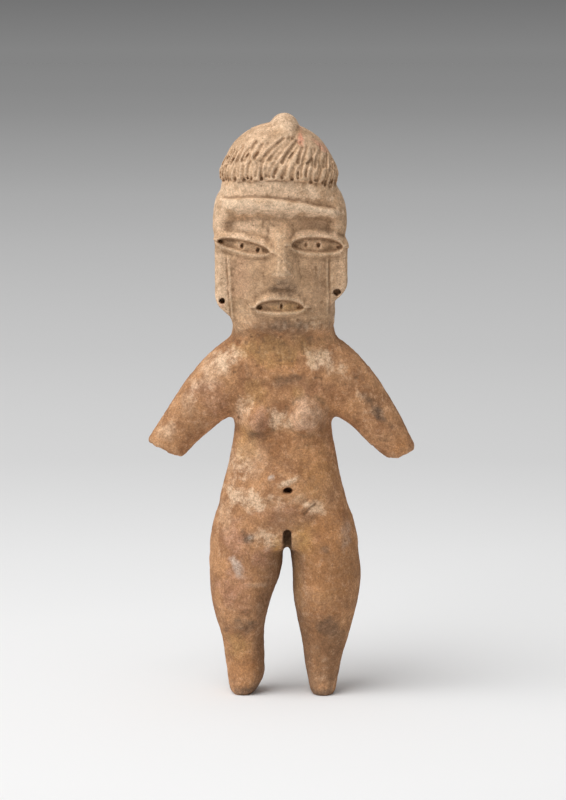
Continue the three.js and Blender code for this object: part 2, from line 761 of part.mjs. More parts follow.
// The figure's solid, moved so that the middle of its box is over the origin.
function figureGeometry() {
  const box = new THREE.Box3(new THREE.Vector3(-37, -17, -3), new THREE.Vector3(37, 17, HEIGHT + 2));
  const fine = surfaceOf(figure, box, GRID_STEP);
  const weightAt = (point) => (point[2] > CHIN_Z ? HEAD_WEIGHT : 1);
  const geometry = cutAtGround(simplified(fine, TRIANGLES, weightAt));
  geometry.computeBoundingBox();
  const middle = geometry.boundingBox.getCenter(new THREE.Vector3());
  return geometry.translate(-middle.x, -middle.y, 0);
}

const part = new THREE.Group();
const mesh = new THREE.Mesh(figureGeometry(), new THREE.MeshStandardMaterial(CLAY));
mesh.name = "female_figure";
part.add(mesh);

export default part;
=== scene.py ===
"""A hand-modelled female figurine of fired clay, on a pale floor under soft studio light."""
import math

import bpy
import numpy as np
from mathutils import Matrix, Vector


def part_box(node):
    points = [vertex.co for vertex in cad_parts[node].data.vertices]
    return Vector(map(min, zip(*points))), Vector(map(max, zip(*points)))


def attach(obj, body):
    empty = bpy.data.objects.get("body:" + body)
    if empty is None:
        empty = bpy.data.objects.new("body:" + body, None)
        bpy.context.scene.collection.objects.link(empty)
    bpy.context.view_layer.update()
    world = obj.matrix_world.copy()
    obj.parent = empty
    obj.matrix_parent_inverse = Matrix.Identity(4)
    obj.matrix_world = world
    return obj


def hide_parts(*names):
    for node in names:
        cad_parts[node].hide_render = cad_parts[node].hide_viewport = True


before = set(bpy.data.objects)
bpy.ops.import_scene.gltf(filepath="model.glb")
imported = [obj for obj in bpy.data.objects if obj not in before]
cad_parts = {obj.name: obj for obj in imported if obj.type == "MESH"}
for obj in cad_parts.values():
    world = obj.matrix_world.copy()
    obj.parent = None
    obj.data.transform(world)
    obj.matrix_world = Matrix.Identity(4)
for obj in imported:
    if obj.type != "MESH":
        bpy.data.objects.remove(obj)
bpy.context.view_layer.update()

import openvdb
from mathutils import Vector

# The figure's form is worked out in millimetres, faces -Y, and is set on its CAD node at the end.
NODE = "female_figure"
MM = 0.001
HEIGHT = 150
CROTCH_Z = 38
NECK_FOOT_Z = 84
NECK_TOP_Z = 104
SLOT_TOP_Z = 43.5
NAVEL_Z = 53.9
BREAST_Z = 72.6
CHIN_Z = 94.5
FACE_HEIGHT = 35
HAIR_Z = 134
MIDLINE_X = 1.7
SEED = 7

# The form is sampled on a grid this fine, in blocks of this many steps a side. Only blocks whose
# middle lies within BLOCK_REACH of the surface are filled in.
STEP = 0.3
BLOCK = 4
BLOCK_REACH = 2.8
GRID_LOW = (-37.2, -17.4, -2.4)
GRID_SIZE = (74.4, 34.2, 154.8)
FACETS = 196000

# The schematic face is laid out by shares of its height, from the chin to the top of the headband.
FACE_X = -0.1
MOUTH_Z = CHIN_Z + 0.172 * FACE_HEIGHT
NOSE_Z = CHIN_Z + 0.42 * FACE_HEIGHT
EYE_Z = CHIN_Z + 0.62 * FACE_HEIGHT
BAND_Z = CHIN_Z + 0.98 * FACE_HEIGHT

# Outlines as rows of (along, low edge, high edge, front, back). The trunk, head, hair and legs run
# up Z with their edges in X. An arm runs out from its shoulder with its edges across it.
TRUNK = (
    (33, -18.4, 20.1, -8.6, 10.4),
    (38, -17.9, 19.8, -9.6, 11.2),
    (44, -16.9, 18.8, -9.9, 10.8),
    (50, -15.7, 17.1, -9.8, 9.2),
    (56, -14.4, 15.5, -9.2, 7.9),
    (62, -13.0, 14.4, -8.3, 7.3),
    (68, -12.0, 13.3, -8.1, 7.3),
    (75, -11.9, 13.1, -8.3, 7.8),
    (84, -12.6, 13.6, -8.0, 8.0),
    (89, -12.4, 13.5, -7.2, 7.8),
    (97, -11.8, 13.4, -6.7, 7.8),
)
HEAD = (
    (86, -11.7, 13.3, -7.0, 7.6),
    (93, -11.7, 13.4, -7.0, 8.1),
    (95.4, -12.0, 13.2, -9.5, 8.5),
    (98, -12.9, 13.1, -9.9, 8.9),
    (103, -13.5, 13.2, -10.2, 9.4),
    (111, -14.1, 13.6, -10.2, 10.0),
    (116, -15.5, 14.7, -9.8, 10.4),
    (121, -15.8, 15.0, -9.3, 10.5),
    (126, -15.9, 15.2, -9.7, 10.4),
    (131, -15.4, 14.6, -10.0, 10.0),
    (137, -13.6, 12.8, -9.2, 9.4),
)
HAIR = (
    (131, -15.2, 14.4, -11.2, 10.7),
    (135.4, -15.8, 14.8, -11.9, 11.0),
    (138, -14.6, 13.7, -11.2, 10.6),
    (141, -12.6, 11.7, -9.8, 9.7),
    (144, -10.0, 9.1, -7.6, 7.8),
    (147, -5.2, 4.4, -4.0, 4.2),
)
LEFT_LEG = (
    (-2, -12.6, -8.4, -6.8, 5.0),
    (1, -13.2, -6.2, -7.5, 5.5),
    (4, -13.7, -4.5, -7.7, 5.8),
    (8, -14.3, -4.1, -6.5, 5.6),
    (15, -15.4, -4.4, -7.2, 6.4),
    (20, -16.8, -3.8, -8.9, 7.4),
    (25, -17.9, -2.3, -9.9, 8.6),
    (31, -18.4, 0.0, -10.1, 10.4),
    (37, -18.3, 0.7, -10.2, 11.4),
    (48, -16.2, 1.4, -8.6, 9.6),
)
RIGHT_LEG = (
    (-2, 8.0, 13.6, -7.2, 5.2),
    (3, 7.2, 14.6, -8.2, 5.8),
    (8, 6.3, 15.5, -6.5, 5.6),
    (15, 5.4, 17.5, -7.0, 6.4),
    (20, 4.2, 18.9, -8.4, 7.4),
    (25, 3.3, 20.1, -10.0, 8.6),
    (31, 3.0, 20.7, -10.3, 10.4),
    (37, 2.5, 20.1, -10.2, 11.4),
    (48, 2.0, 17.8, -8.6, 9.6),
)
LEFT_ARM_ROWS = (
    (-4, -11, 6.2, -7.0, 7.0),
    (0, -11, 7.3, -7.3, 7.3),
    (7, -8.6, 7.9, -7.3, 7.1),
    (13, -6.8, 7.6, -6.8, 6.3),
    (20.5, -5.3, 6.5, -5.6, 5.2),
    (26, -4.8, 5.7, -4.8, 4.6),
    (33, -4.8, 4.9, -4.2, 4.2),
)
RIGHT_ARM_ROWS = (
    (-4, -11, 6.2, -7.0, 7.0),
    (0, -11, 7.3, -7.3, 7.3),
    (5.3, -9.0, 8.0, -7.3, 7.1),
    (11.3, -7.0, 7.9, -6.9, 6.5),
    (17, -5.5, 7.0, -6.1, 5.6),
    (24, -5.0, 5.7, -5.1, 4.8),
    (34, -3.0, 2.8, -3.8, 3.8),
)
LEFT_ARM = dict(shoulder=(-10, 86), stump=(-29.9, 63.5), at=30.1, slant=0.3, rounding=1.6)
RIGHT_ARM = dict(shoulder=(11, 86), stump=(31.5, 62.7), at=31.7, slant=0.3, rounding=1.4)
# Rounded forms as their centre and radii.
LEFT_KNEE = ((-9.7, -5.4, 22.5), (5.6, 4.6, 6.5))
RIGHT_KNEE = ((11.2, -5.8, 24.5), (6.2, 4.8, 6.4))
BELLY = ((1, -4.5, 52.5), (10.5, 6.3, 9))
LEFT_BUTTOCK = ((-7.6, 6.2, 39.5), (8.2, 6.4, 8.4))
RIGHT_BUTTOCK = ((10, 6.2, 39.5), (8.2, 6.4, 8.4))
SKULL = ((-0.6, -0.2, HAIR_Z), (14.4, 10.4, 13.6))
LEFT_LOBE = ((-14.6, -1.2, 122.6), (2.8, 6.2, 8))
RIGHT_LOBE = ((13.9, -1.2, 123.2), (3.1, 6.4, 7.4))
# How square the sections are: 2 is an ellipse, and more is nearer to a rectangle.
LIMB_SQUARE = 2.2
TRUNK_SQUARE = 2.4
HEAD_SQUARE = 3
HAIR_SQUARE = 2.5
ARM_START = -4
THIGH_TOP_Z = 48
TRUNK_TOP_Z = 97
HEAD_FOOT_Z = 87
HEAD_TOP_Z = 137
HAIR_TOP_Z = 146.4
SOLE_DEPTH = 0.6

# Slits with a raised rim, pits and other tool marks. The eyes' pits are rows of (along, up,
# strength).
EYE_X = 9.4
EYES = {
    -1: dict(
        tilt=11.5, half_length=6.8, above=1.8, below=1.5, depth=0.35,
        pits=((0.3, 0.1, 1), (-3.8, -0.1, 1)),
    ),
    1: dict(
        tilt=-3, half_length=6.6, above=2.5, below=1.8, depth=0.7,
        pits=((0.3, 0.3, 1), (-2.9, 0.3, 0.45)),
    ),
}
MOUTH = dict(half_length=6.15, above=2.4, below=1.1, depth=0.5)
UPPER_RIM = dict(width=2.3, lift=1.2)
LOWER_RIM = dict(width=1.4, lift=0.7)
PIT_RADIUS = 0.72
PIT_DEPTH = 1.8
NOSE = dict(height=12.5, half_width=4.7, bridge_half_width=3.2, tip=4.7, bridge=1.7)
EARS = (
    dict(edge=-16.7, inner=-13.9, top=118, foot=98.9, hole=(-15.0, 102.3), bore=0.75),
    dict(edge=17.1, inner=12.5, top=118.5, foot=101.0, hole=(14.4, 104.4), bore=0.95),
)
GROOVE_SLOPES = (0.075, 0)
EAR_FRONT_Y = -7.4
EAR_BACK_Y = -2.4
EAR_OVERLAP = 2.5
HOLE_DEPTH = 3.2
CREST_X = 0.9
CREST_HALF_WIDTH = 3.6
NAPE_PITCH = 3.1

# The hair's strokes stand in two rows above its hem, round the middle of the head.
HAIR_MIDDLE = (-0.6, -1)
HEAD_RADIUS = 15
STROKE_PITCH = 1.42
STROKE_ROWS = (
    dict(foot=1.4, length=4.2, lean=0.28, turn=0.012, reach=27, depth=0.7, holes=0.14),
    dict(foot=5.6, length=4.0, lean=0.62, turn=-0.008, reach=24, depth=0.9, holes=0.3),
)

# Creases and crusts as rows of (start, end, half width, lift) in X and Z.
SCRATCHES = (
    ((6.2, 48.0), (8.6, 49.8), 0.6, -0.35),
    ((5.3, 49.0), (8.0, 51.0), 0.9, 0.4),
    ((-0.6, 55.4), (4.4, 57.4), 0.9, 0.3),
    ((-1.5, 51.4), (1.2, 51.2), 0.7, -0.2),
    ((-8.2, 30.0), (-3.6, 28.8), 0.8, 0.22),
    ((-8.9, 42.2), (-7.3, 40.6), 0.8, -0.25),
    ((-1.0, 81.6), (5.0, 82.8), 0.9, -0.22),
)


def join(a, b, width):
    """The union of two distances with a rounded join."""
    overlap = np.maximum(width - np.abs(a - b), 0) / width
    return np.minimum(a, b) - overlap * overlap * width / 4


def meet(a, b, width):
    """The intersection of two distances with a rounded edge."""
    return -join(-a, -b, width)


def fade(value, low, high):
    """0 below low, 1 above high, and smooth between."""
    share = np.clip((value - low) / (high - low), 0, 1)
    return share * share * (3 - 2 * share)


def mark(offset, half_width):
    """1 at the middle of a mark, falling smoothly to 0 at its edge."""
    return np.clip(1 - (offset / half_width) ** 2, 0, 1)


class Noise:
    """Smooth solid noise between -1 and 1, the same on every run."""

    COUNT = 64

    def __init__(self, seed):
        values = np.random.default_rng(seed).random((self.COUNT,) * 3)
        self.lattice = (2 * values - 1).astype(np.float32)

    def __call__(self, x, y, z, size):
        total = 0
        cells = []
        for axis in (x, y, z):
            at = axis / size + 500
            low = np.floor(at).astype(np.int32)
            share = at - low
            weight = share * share * (3 - 2 * share)
            cells.append(((low % self.COUNT, 1 - weight), ((low + 1) % self.COUNT, weight)))
        for i, wi in cells[0]:
            for j, wj in cells[1]:
                for k, wk in cells[2]:
                    total = total + self.lattice[i, j, k] * wi * wj * wk
        return total


broad_noise = Noise(SEED)
fine_noise = Noise(SEED + 1)
patch_noise = Noise(SEED + 2)


def ellipsoid(x, y, z, centre, radii):
    shares = [(value - c) / r for value, c, r in zip((x, y, z), centre, radii)]
    reach = np.sqrt(sum(share * share for share in shares)) + 1e-9
    slope = np.sqrt(sum((share / r) ** 2 for share, r in zip(shares, radii))) + 1e-9
    return reach * (reach - 1) / slope


def bar(x, y, z, start, end, radius):
    """A round bar between two points."""
    reach = [b - a for a, b in zip(start, end)]
    offset = [value - a for value, a in zip((x, y, z), start)]
    length = sum(r * r for r in reach)
    share = np.clip(sum(o * r for o, r in zip(offset, reach)) / length, 0, 1)
    return np.sqrt(sum((o - share * r) ** 2 for o, r in zip(offset, reach))) - radius


def smooth_rows(rows, along):
    """The edges of an outline at any place along it, on a smooth curve through its rows."""
    rows = np.array(rows, dtype=float)
    knots, edges = rows[:, 0], rows[:, 1:]
    slopes = np.gradient(edges, knots, axis=0)
    at = np.clip(along, knots[0], knots[-1])
    cell = np.clip(np.searchsorted(knots, at) - 1, 0, len(knots) - 2)
    width = knots[cell + 1] - knots[cell]
    t = (at - knots[cell]) / width
    starts = (1 + 2 * t) * (1 - t) ** 2
    start_slopes = t * (1 - t) ** 2 * width
    end_slopes = t * t * (t - 1) * width
    return [
        starts * edges[cell, k] + start_slopes * slopes[cell, k]
        + (1 - starts) * edges[cell + 1, k] + end_slopes * slopes[cell + 1, k]
        for k in range(4)
    ]


def drawn(rows, square, along, across, depth):
    """A form drawn out along a line, with a section between an ellipse and a rectangle."""
    low, high, front, back = smooth_rows(rows, along)
    half_width = (high - low) / 2
    half_depth = (back - front) / 2
    u = (np.abs(across - low - half_width) + 1e-6) / half_width
    v = (np.abs(depth - front - half_depth) + 1e-6) / half_depth
    reach = (u ** square + v ** square) ** (1 / square)
    slope = np.hypot(u ** (square - 1) / half_width, v ** (square - 1) / half_depth)
    return (reach - 1) * reach ** (square - 1) / slope


def arm(x, y, z, rows, shoulder, stump, at, slant, rounding):
    reach = np.array(stump, dtype=float) - shoulder
    axis = reach / np.linalg.norm(reach)
    upper = np.array((-axis[1], axis[0])) * np.sign(axis[0])
    along = (x - shoulder[0]) * axis[0] + (z - shoulder[1]) * axis[1]
    across = (x - shoulder[0]) * upper[0] + (z - shoulder[1]) * upper[1]
    rough = 0.35 * broad_noise(x, y, z, 1.7) + 0.2 * fine_noise(x, y, z, 0.8)
    past = along - at - slant * across + rough
    form = meet(drawn(rows, LIMB_SQUARE, along, across, y), past, rounding)
    return meet(form, ARM_START - along, 4)


def leg_ends(form, z):
    """A leg's rounded foot reaches a little below the ground, which cuts a small sole."""
    return meet(meet(form, z - THIGH_TOP_Z, 4), -SOLE_DEPTH - z, 2.4)


def left_leg(x, y, z):
    leg = leg_ends(drawn(LEFT_LEG, LIMB_SQUARE, z, x, y), z)
    return join(leg, ellipsoid(x, y, z, *LEFT_KNEE), 2.5)


def right_leg(x, y, z):
    leg = leg_ends(drawn(RIGHT_LEG, LIMB_SQUARE, z, x, y), z)
    crack = bar(x, y, z, (14.8, -4.4, 5.6), (13.8, -6.2, 3.8), 0.4)
    leg = join(leg, ellipsoid(x, y, z, *RIGHT_KNEE), 2.5)
    return meet(leg, -crack, 0.3)


def breast_relief(x, z):
    """Two soft mounds: a small one drawn to a low point, and a broad round one with a nipple."""
    up = z - BREAST_Z + 1.9
    left = fade(1 - np.hypot((x + 6.3) / 4.5, up / np.where(up > 0, 6.2, 4.8)), 0, 1)
    right = fade(1 - np.hypot((x - 6.9) / 5.4, (z - BREAST_Z - 0.1) / 5.4), 0, 0.72)
    nipple = mark(np.hypot(x - 8.6, z - BREAST_Z + 1.9), 1.1)
    return 3.8 * left + 3.5 * right + 0.4 * nipple


def trunk(x, y, z):
    form = drawn(TRUNK, TRUNK_SQUARE, z, x, y)
    form = meet(meet(form, CROTCH_Z - z, 3), z - TRUNK_TOP_Z, 3)
    form = join(form, arm(x, y, z, LEFT_ARM_ROWS, **LEFT_ARM), 3.2)
    form = join(form, arm(x, y, z, RIGHT_ARM_ROWS, **RIGHT_ARM), 3.2)
    form = join(form, ellipsoid(x, y, z, *BELLY), 3)
    form = form - breast_relief(x, z) * fade(-y, 1, 5)
    form = join(form, ellipsoid(x, y, z, *LEFT_BUTTOCK), 2.5)
    return join(form, ellipsoid(x, y, z, *RIGHT_BUTTOCK), 2.5)


def body_cuts(x, y, z):
    """The slot between the thighs in front, the cleft behind and the punched navel."""
    ragged = 0.25 * fine_noise(x, y, z, 0.9)
    slot = np.hypot(x - MIDLINE_X, np.maximum(z - SLOT_TOP_Z + 1, 0)) - 1 + ragged
    cleft = np.hypot((x - 1.2) / 0.9, (y - 12.6) / 2.8) - 1
    navel = np.hypot((x - MIDLINE_X) / 1.25, (z - NAVEL_Z) / 0.8) - 1 + ragged
    slot = meet(slot, y + 2, 1)
    cleft = meet(cleft, np.abs(z - 39) - 8, 3)
    return np.minimum(slot, np.minimum(cleft, meet(navel, y + 6.5, 0.6)))


def body(x, y, z):
    legs = np.minimum(left_leg(x, y, z), right_leg(x, y, z))
    return meet(join(trunk(x, y, z), legs, 1.6), -body_cuts(x, y, z), 0.7)


def hem_height(x):
    return HAIR_Z - 1 - 0.006 * x * x - 0.03 * x


def hair_strokes():
    """Rows of start, foot, reach, rise, bend, half width, depth and hole, one a stroke."""
    random = np.random.default_rng(SEED)
    strokes = []
    for row, stroke in enumerate(STROKE_ROWS):
        for middle in np.arange(-stroke["reach"], stroke["reach"], STROKE_PITCH):
            around = middle + random.normal(0, 0.24)
            centre = row * math.exp(-((around - 0.5) / 4.2) ** 2)
            side = min(abs(around) / 20, 1)
            hem = hem_height(HEAD_RADIUS * math.sin(around / HEAD_RADIUS))
            foot = hem + stroke["foot"] + random.normal(0, 0.45)
            foot = foot - (0.7 + 0.2 * row) * side ** 2
            length = stroke["length"] * random.uniform(0.72, 1.2)
            length = length * (1 - 0.35 * row * side) + 1.2 * centre
            lean = stroke["lean"] + stroke["turn"] * around + 0.45 * centre
            lean = lean + random.normal(0, 0.14)
            half_width = random.uniform(0.56, 0.9)
            bend = random.normal(0.25, 0.35)
            depth = stroke["depth"] * random.uniform(0.7, 1.25)
            hole = 0.6 * (random.random() < stroke["holes"])
            start = around - lean * length * 0.5
            strokes.append((start, foot, lean * length, length, bend, half_width, depth, hole))
    return strokes


STROKES = hair_strokes()


def stroke_relief(x, y, z):
    """The strokes as a height: scoops, deepest at their feet, with thin ridges between them."""
    aside, ahead = x - HAIR_MIDDLE[0], HAIR_MIDDLE[1] - y
    around = np.arctan2(aside, ahead) * np.hypot(aside, ahead)
    cut = np.zeros_like(x)
    shown = (z > HAIR_Z - 5) & (z < HEIGHT - 1.5)
    for start, foot, reach, rise, bend, half_width, depth, hole in STROKES:
        near = np.flatnonzero(shown & (np.abs(around - start - reach / 2) < 4.5))
        across, up = around[near] - start, z[near] - foot
        share = np.clip((across * reach + up * rise) / (reach * reach + rise * rise), 0, 1)
        across = across + 4 * bend * share * (1 - share)
        away = np.hypot(across - share * reach, up - share * rise)
        dug = depth * (1 - 0.35 * share) * mark(away, half_width)
        deep = hole * mark(np.hypot(away, 2 * (share - 0.3)), 0.45)
        cut[near] = np.maximum(cut[near], dug + deep)
    return -cut


def hair_roll(x, y, z):
    form = meet(drawn(HAIR, HAIR_SQUARE, z, x, y), z - HAIR_TOP_Z, 1)
    return meet(form, hem_height(x) - z, 1.4)


def crown(x, y, z):
    """The top of the head, under a crest that runs over it as a broad band."""
    skull = ellipsoid(x, y, z, *SKULL)
    off = x - CREST_X - 0.04 * (z - 145)
    over = ellipsoid(0 * x, y, z, (0, -0.4, HEIGHT - 12.7), (1, 9.9, 12.5))
    crest = np.hypot(off, np.maximum(over + CREST_HALF_WIDTH, 0)) - CREST_HALF_WIDTH
    form = join(skull, crest, 0.6)
    crease = bar(x, y, z, (4.8, -4.4, 147.4), (4.7, -9.4, 141.8), 0.5)
    return meet(form, -crease, 0.5)


def nape_hair(x, y, z):
    """The hair hangs down the back of the neck in one thick sheet with a few long strokes."""
    outline = meet(np.abs(x - 0.9) - 13.1, np.abs(z - 109) - 20, 9)
    sheet = meet(outline, np.abs(y - 7.2 - 0.05 * (z - 90)) - 3.2, 4)
    waver = x + 0.5 * broad_noise(x, y, z, 6)
    groove = mark(waver - np.round(waver / NAPE_PITCH) * NAPE_PITCH, 0.7)
    length = fade(z, 90, 94) * (1 - fade(z, 125, 129)) * (0.6 + 0.4 * broad_noise(x, 0 * y, z, 9))
    return sheet + 0.55 * groove * length * fade(y, 7, 9)


def side_lobes(x, y, z):
    """Lobes at the sides of the brow, the left one cut slanting above."""
    left = meet(ellipsoid(x, y, z, *LEFT_LOBE), z - 130.2 - 0.5 * (x + 15), 1.2)
    return np.minimum(left, ellipsoid(x, y, z, *RIGHT_LOBE))


def ear_flap(x, y, z, edge, inner, top, foot, hole, bore):
    """A flap that hangs beside the face from the lobe above, cut slanting below and pierced."""
    side = np.sign(edge)
    outward = x * side - abs(inner)
    near, far = abs(inner) - EAR_OVERLAP, abs(edge)
    width = np.abs(x * side - (far + near) / 2) - (far - near) / 2
    below = (foot + 0.9 * outward - z) * 0.74
    outline = meet(width, np.maximum(z - top, below), 1.8)
    middle_y = (EAR_FRONT_Y + EAR_BACK_Y) / 2
    flap = meet(outline, np.abs(y - middle_y) - (EAR_BACK_Y - EAR_FRONT_Y) / 2, 1.4)
    ragged = 0.25 * fine_noise(x, y, z, 0.9)
    round_hole = np.hypot(x - hole[0], z - hole[1]) - bore + ragged
    bored = meet(round_hole, y - EAR_FRONT_Y - HOLE_DEPTH, 0.6)
    return meet(flap, -bored, 0.3)


def slit(along, up, half_length, above, below, depth):
    """A lens-shaped slit as a height: a soft rim round an opening with a sloping floor."""
    bow = np.sqrt(1 - np.clip(np.abs(along) / half_length, 0, 1) ** 2.2)
    over = up > 0
    beyond = np.abs(up) - np.where(over, above, below) * bow
    past = np.maximum(np.abs(along) - half_length, 0)
    width = np.where(over, UPPER_RIM["width"], LOWER_RIM["width"])
    lift = np.where(over, UPPER_RIM["lift"], LOWER_RIM["lift"])
    rim = lift * fade(1 - np.hypot(np.maximum(beyond, 0), past) / width, 0, 1)
    floor = lift - (lift + depth) * fade(-beyond, -0.1, np.where(over, 0.5, 0.7))
    return np.where((beyond < 0) & (past == 0), floor, rim)


def pit(along, up, wide=1, tall=1):
    return -PIT_DEPTH * mark(np.hypot(along / wide, up / tall), PIT_RADIUS) ** 2


def eye_relief(x, z, side):
    eye = EYES[side]
    tilt = math.radians(eye["tilt"])
    out = (x - FACE_X) * side - EYE_X
    along = out * math.cos(tilt) + (z - EYE_Z) * math.sin(tilt)
    up = (z - EYE_Z) * math.cos(tilt) - out * math.sin(tilt)
    half_length = eye["half_length"]
    relief = slit(along, up, half_length, eye["above"], eye["below"], eye["depth"])
    for place, height, strength in eye["pits"]:
        relief = relief + strength * pit(along - place, up - height, 0.85, 1.3)
    outer = pit(along - half_length + 1.1, up, 1.3, 0.8)
    inner = pit(along + half_length - 1, up, 1.3, 0.8)
    return relief + 0.3 * (outer + inner)


def mouth_relief(x, z):
    along, up = x - FACE_X + 0.1, z - MOUTH_Z
    corners = 0.7 * pit(along + 5.1, up - 0.2, 1.3) + 0.4 * pit(along - 5.0, up - 0.2, 1.4)
    return slit(along, up, **MOUTH) + pit(along - 0.4, up - 0.5, 0.6, 1.4) + corners


def nose_relief(x, z):
    """A wedge that widens and rises to its tip, with a sloping underside and a fresh scratch."""
    climb = np.clip((z - NOSE_Z) / NOSE["height"], 0, 1)
    half_width = NOSE["half_width"] + (NOSE["bridge_half_width"] - NOSE["half_width"]) * climb
    ridge = NOSE["tip"] + (NOSE["bridge"] - NOSE["tip"]) * climb
    off = np.maximum(np.abs(x - FACE_X - 0.5 + 0.4 * climb) / half_width - 0.18, 0) / 0.82
    across = 0.65 * fade(1 - off, 0, 1) + 0.35 * np.clip(1 - off, 0, 1)
    underside = np.clip((z - NOSE_Z + 3.9) / 4, 0, 1)
    scratch = bar(x, 0 * x, z, (1.3, 0, 111.9), (3.4, 0, 109.3), 0.2)
    nick = 0.2 * (1 - fade(scratch, 0, 0.3))
    return ridge * across * underside * (1 - fade(z, EYE_Z + 3, EYE_Z + 7)) - nick


def band_relief(x, z):
    """The band across the brow: a crisp ledge above a soft roll, and a hollow brow below it."""
    top = BAND_Z - 0.6 - 0.0066 * x * x - 0.107 * x + 0.2 * broad_noise(x, 0 * x, z, 3)
    below = top - z
    foot = 4.4 - 0.12 * x
    thick = 1.4 + 1.2 * mark(below - 1.5, 2.2)
    roll = thick * fade(below, -0.2, 0.35) * (1 - fade(below, foot - 2.2, foot + 0.5))
    aside = np.abs(x - FACE_X)
    hollow = 0.5 * mark(below - 6, 3.4) * (0.8 + 0.06 * x) * (1 - fade(aside, 6, 13.5))
    return (roll - hollow) * (1 - fade(aside, 13.4, 15.6))


def cheek_grooves(x, z):
    """The groove that parts each ear flap from the cheek, with a thin burr beside it."""
    along = fade(z, 97, 99.5) * (1 - fade(z, 112.5, 114))
    groove = 0
    for ear, slope in zip(EARS, GROOVE_SLOPES):
        side = np.sign(ear["edge"])
        line = abs(ear["inner"]) - slope * (113 - z)
        off = x * side - line + 0.15 * broad_noise(x, 0 * x, z, 4)
        groove = groove - 0.32 * mark(off, 0.34) + 0.22 * mark(off + 0.5, 0.4)
    return groove * along * (0.75 + 0.4 * broad_noise(x, 0 * x, z, 2.6))


def head(x, y, z):
    core = drawn(HEAD, HEAD_SQUARE, z, x, y)
    core = meet(meet(core, z - HEAD_TOP_Z, 2), HEAD_FOOT_Z - z, 3)
    form = join(core, side_lobes(x, y, z), 1.4)
    for ear in EARS:
        form = join(form, ear_flap(x, y, z, **ear), 1)
    form = join(form, crown(x, y, z), 1)
    face = eye_relief(x, z, -1) + eye_relief(x, z, 1) + mouth_relief(x, z) + nose_relief(x, z)
    form = form - (face + band_relief(x, z) + cheek_grooves(x, z)) * fade(-y, 1.5, 6)
    form = join(form, nape_hair(x, y, z), 2.5)
    return join(form, hair_roll(x, y, z), 0.4) - stroke_relief(x, y, z)


def scratches(x, y, z):
    """Creases and small raised crusts on the front of the body."""
    height = 0
    x = x + 0.5 * broad_noise(x, y, z, 2.2)
    z = z + 0.5 * broad_noise(x + 20, y, z, 2.2)
    for start, end, half_width, lift in SCRATCHES:
        away = bar(x, 0 * x, z, (start[0], 0, start[1]), (end[0], 0, end[1]), 0)
        height = height + lift * mark(away, half_width)
    return height * fade(-y, 3, 6)


def handling(x, y, z):
    """The unevenness that fingers and wear leave on the clay, rougher about the neck."""
    crust = mark(z - 91, 12) ** 2
    broad = 0.16 * broad_noise(x, y, z, 7.5) + 0.09 * broad_noise(x + 40, y, z, 3.1)
    coarse, fine = fine_noise(x, y, z, 1.1), fine_noise(x, y + 30, z, 0.65)
    grainy = (0.045 + 0.12 * crust) * coarse + 0.045 * fine
    speck = np.clip(patch_noise(x, y, z, 1.5) - 0.62, 0, 1) * (0.7 + 1.2 * crust)
    quiet = 1 - 0.6 * fade(z, 97, 99) * fade(-y, 5, 8)
    return broad * quiet + grainy - speck + scratches(x, y, z)


def figure(x, y, z):
    """The whole figure as a distance in millimetres: below zero inside the clay."""
    distance = np.empty_like(x)
    upper, lower = z > NECK_TOP_Z, z < NECK_FOOT_Z
    middle = ~(upper | lower)
    for part, form in ((upper, head), (lower, body)):
        distance[part] = form(x[part], y[part], z[part])
    at = x[middle], y[middle], z[middle]
    distance[middle] = join(body(*at), head(*at), 1.4)
    return distance - handling(x, y, z)


def sampled(low, counts):
    """Distances on an even grid. Blocks that lie far from the surface get one value."""
    blocks = [count // BLOCK for count in counts]
    centres = np.indices(blocks).reshape(3, -1).T * BLOCK + (BLOCK - 1) / 2
    coarse = figure(*(low + centres * STEP).T)
    grid = np.repeat(np.sign(coarse) * BLOCK_REACH, BLOCK ** 3).reshape(-1, BLOCK, BLOCK, BLOCK)
    near = np.flatnonzero(np.abs(coarse) < BLOCK_REACH)
    inner = np.indices((BLOCK,) * 3).reshape(3, -1).T
    cells = (centres[near] - (BLOCK - 1) / 2)[:, None, :] + inner[None, :, :]
    points = low + cells.reshape(-1, 3) * STEP
    grid[near] = figure(*points.T).reshape(-1, BLOCK, BLOCK, BLOCK)
    grid = grid.reshape(*blocks, BLOCK, BLOCK, BLOCK).transpose(0, 3, 1, 4, 2, 5)
    return np.ascontiguousarray(grid.reshape(counts), dtype=np.float32)


def smoothed(values, edges, rounds):
    """Each vertex's values averaged with its neighbours', over and over."""
    ends = np.concatenate((edges[:, 0], edges[:, 1]))
    others = np.concatenate((edges[:, 1], edges[:, 0]))
    counts = np.bincount(ends, minlength=len(values)) + 1.0
    for _ in range(rounds):
        sums = [np.bincount(ends, column[others], len(values)) for column in values.T]
        values = (values + np.column_stack(sums)) / counts[:, None]
    return values


def fine_surface():
    """The clay surface as a closed mesh in millimetres."""
    low = np.array(GRID_LOW)
    counts = [BLOCK * math.ceil(size / (STEP * BLOCK)) for size in GRID_SIZE]
    volume = openvdb.FloatGrid(BLOCK_REACH)
    volume.copyFromArray(sampled(low, counts))
    points, triangles, quads = volume.convertToPolygons(isovalue=0.0, adaptivity=0.0)
    points = low + points * STEP
    points[:, 2] = np.maximum(points[:, 2], 0)
    mesh = bpy.data.meshes.new("surface")
    mesh.from_pydata(points.tolist(), [], triangles.tolist() + quads.tolist())
    return mesh


def linked(name, data):
    """A new object in the scene."""
    made = bpy.data.objects.new(name, data)
    bpy.context.scene.collection.objects.link(made)
    return made


